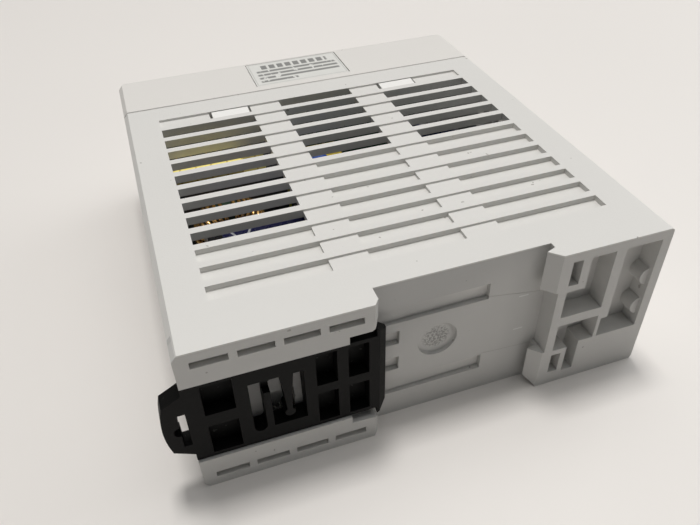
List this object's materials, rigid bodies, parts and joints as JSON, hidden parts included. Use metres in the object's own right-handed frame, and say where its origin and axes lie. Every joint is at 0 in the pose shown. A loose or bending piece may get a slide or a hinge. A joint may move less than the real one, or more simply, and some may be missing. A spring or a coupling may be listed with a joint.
{
  "type": "din rail power supply",
  "caption": "Slim vented plastic power supply with a sprung foot that clips on a 35 mm mounting rail and screw terminals at both ends of its front.",
  "frame": {"origin": "the middle of the flat face that seats on the mounting rail, on the rail's centreline and at mid-width", "axes": "+Y points away from the rail to the front, -X is the mounted bottom end with the clip's pull tab, and Z is the width, so the part lies on its plain side with its vented side up"},
  "size_m": [0.0996, 0.108, 0.036],
  "materials": {
    "case_plastic": "fine moulded texture, light warm grey",
    "clip_plastic": "black moulded polyamide",
    "spring_steel": "bright drawn wire",
    "label_film": "printed matt film",
    "circuit_board": "green solder mask",
    "ferrite": "dark grey sintered ferrite",
    "winding_tape": "yellow polyester tape",
    "copper_winding": "enamelled copper wire",
    "capacitor_sleeve": "dark blue shrink sleeve",
    "film_capacitor_case": "yellow moulded box",
    "blue_epoxy": "blue dipped epoxy",
    "fuse_ceramic": "white ceramic tube with metal caps",
    "black_epoxy": "black moulded epoxy",
    "white_epoxy": "white moulded epoxy",
    "heatsink_aluminium": "mill finish sheet",
    "plated_steel": "zinc plated steel",
    "plated_brass": "nickel plated brass",
    "terminal_plastic": "black glass-filled polyamide",
    "led_lens": "tinted clear epoxy",
    "trimmer_case": "blue moulded plastic",
    "trimmer_knob": "white moulded plastic"
  },
  "bodies": {
    "case": {"main_housing": "case_plastic", "front_cover": "case_plastic", "clip_return_spring": "spring_steel", "caution_label": "label_film", "rating_label": "label_film", "front_nameplate": "label_film", "main_circuit_board": "circuit_board", "front_circuit_board": "circuit_board", "transformer_core": "ferrite", "choke_core": "ferrite", "transformer_winding": "winding_tape", "choke_winding_left": "copper_winding", "choke_winding_right": "copper_winding", "bulk_capacitor": "capacitor_sleeve", "output_capacitor_1": "capacitor_sleeve", "output_capacitor_2": "capacitor_sleeve", "film_capacitor": "film_capacitor_case", "y_capacitor": "blue_epoxy", "fuse": "fuse_ceramic", "bridge_rectifier": "black_epoxy", "power_transistor": "black_epoxy", "output_diode": "black_epoxy", "controller_chip": "black_epoxy", "output_inductor": "black_epoxy", "optocoupler": "white_epoxy", "primary_heatsink": "heatsink_aluminium", "secondary_heatsink": "heatsink_aluminium", "transistor_screw": "plated_steel", "diode_screw": "plated_steel", "input_terminal_block": "terminal_plastic", "output_terminal_block": "terminal_plastic", "status_led": "led_lens", "trimmer_body": "trimmer_case"},
    "clip": {"rail_clip": "clip_plastic"},
    "trimmer": {"trimmer_rotor": "trimmer_knob"},
    "input_screw_1": {"input_screw_1": "plated_steel"},
    "input_clamp_1": {"input_clamp_1": "plated_brass"},
    "input_screw_2": {"input_screw_2": "plated_steel"},
    "input_clamp_2": {"input_clamp_2": "plated_brass"},
    "input_screw_3": {"input_screw_3": "plated_steel"},
    "input_clamp_3": {"input_clamp_3": "plated_brass"},
    "output_screw_1": {"output_screw_1": "plated_steel"},
    "output_clamp_1": {"output_clamp_1": "plated_brass"},
    "output_screw_2": {"output_screw_2": "plated_steel"},
    "output_clamp_2": {"output_clamp_2": "plated_brass"},
    "output_screw_3": {"output_screw_3": "plated_steel"},
    "output_clamp_3": {"output_clamp_3": "plated_brass"},
    "output_screw_4": {"output_screw_4": "plated_steel"},
    "output_clamp_4": {"output_clamp_4": "plated_brass"}
  },
  "joints": [
    {"name": "clip_slide", "type": "slide", "parent": "case", "child": "clip", "axis": [-1, 0, 0], "range_m": [0, 0.004], "stiffness_N_per_m": 800, "springref_m": -0.002, "deforming": ["clip_return_spring"]},
    {"name": "trimmer_turn", "type": "hinge", "parent": "case", "child": "trimmer", "pos_m": [0.02005, 0.1, 0.006], "axis": [0, -1, 0], "range_deg": [-120, 120]},
    {"name": "input_screw_1_turn", "type": "hinge", "parent": "case", "child": "input_screw_1", "pos_m": [-0.04495, 0.0981, -0.009], "axis": [0, -1, 0], "range_deg": [0, 1800]},
    {"name": "input_clamp_1_rise", "type": "slide", "parent": "case", "child": "input_clamp_1", "axis": [0, 1, 0], "range_m": [0, 0.0025]},
    {"name": "input_screw_2_turn", "type": "hinge", "parent": "case", "child": "input_screw_2", "pos_m": [-0.04495, 0.0981, 0], "axis": [0, -1, 0], "range_deg": [0, 1800]},
    {"name": "input_clamp_2_rise", "type": "slide", "parent": "case", "child": "input_clamp_2", "axis": [0, 1, 0], "range_m": [0, 0.0025]},
    {"name": "input_screw_3_turn", "type": "hinge", "parent": "case", "child": "input_screw_3", "pos_m": [-0.04495, 0.0981, 0.009], "axis": [0, -1, 0], "range_deg": [0, 1800]},
    {"name": "input_clamp_3_rise", "type": "slide", "parent": "case", "child": "input_clamp_3", "axis": [0, 1, 0], "range_m": [0, 0.0025]},
    {"name": "output_screw_1_turn", "type": "hinge", "parent": "case", "child": "output_screw_1", "pos_m": [0.03405, 0.0981, -0.0108], "axis": [0, -1, 0], "range_deg": [0, 1800]},
    {"name": "output_clamp_1_rise", "type": "slide", "parent": "case", "child": "output_clamp_1", "axis": [0, 1, 0], "range_m": [0, 0.0025]},
    {"name": "output_screw_2_turn", "type": "hinge", "parent": "case", "child": "output_screw_2", "pos_m": [0.03405, 0.0981, -0.0036], "axis": [0, -1, 0], "range_deg": [0, 1800]},
    {"name": "output_clamp_2_rise", "type": "slide", "parent": "case", "child": "output_clamp_2", "axis": [0, 1, 0], "range_m": [0, 0.0025]},
    {"name": "output_screw_3_turn", "type": "hinge", "parent": "case", "child": "output_screw_3", "pos_m": [0.03405, 0.0981, 0.0036], "axis": [0, -1, 0], "range_deg": [0, 1800]},
    {"name": "output_clamp_3_rise", "type": "slide", "parent": "case", "child": "output_clamp_3", "axis": [0, 1, 0], "range_m": [0, 0.0025]},
    {"name": "output_screw_4_turn", "type": "hinge", "parent": "case", "child": "output_screw_4", "pos_m": [0.03405, 0.0981, 0.0108], "axis": [0, -1, 0], "range_deg": [0, 1800]},
    {"name": "output_clamp_4_rise", "type": "slide", "parent": "case", "child": "output_clamp_4", "axis": [0, 1, 0], "range_m": [0, 0.0025]}
  ],
  "couplings": [
    {"joint": "input_screw_1_turn", "follows": "input_clamp_1_rise", "rad_per_m": 12566},
    {"joint": "input_screw_2_turn", "follows": "input_clamp_2_rise", "rad_per_m": 12566},
    {"joint": "input_screw_3_turn", "follows": "input_clamp_3_rise", "rad_per_m": 12566},
    {"joint": "output_screw_1_turn", "follows": "output_clamp_1_rise", "rad_per_m": 12566},
    {"joint": "output_screw_2_turn", "follows": "output_clamp_2_rise", "rad_per_m": 12566},
    {"joint": "output_screw_3_turn", "follows": "output_clamp_3_rise", "rad_per_m": 12566},
    {"joint": "output_screw_4_turn", "follows": "output_clamp_4_rise", "rad_per_m": 12566}
  ]
}
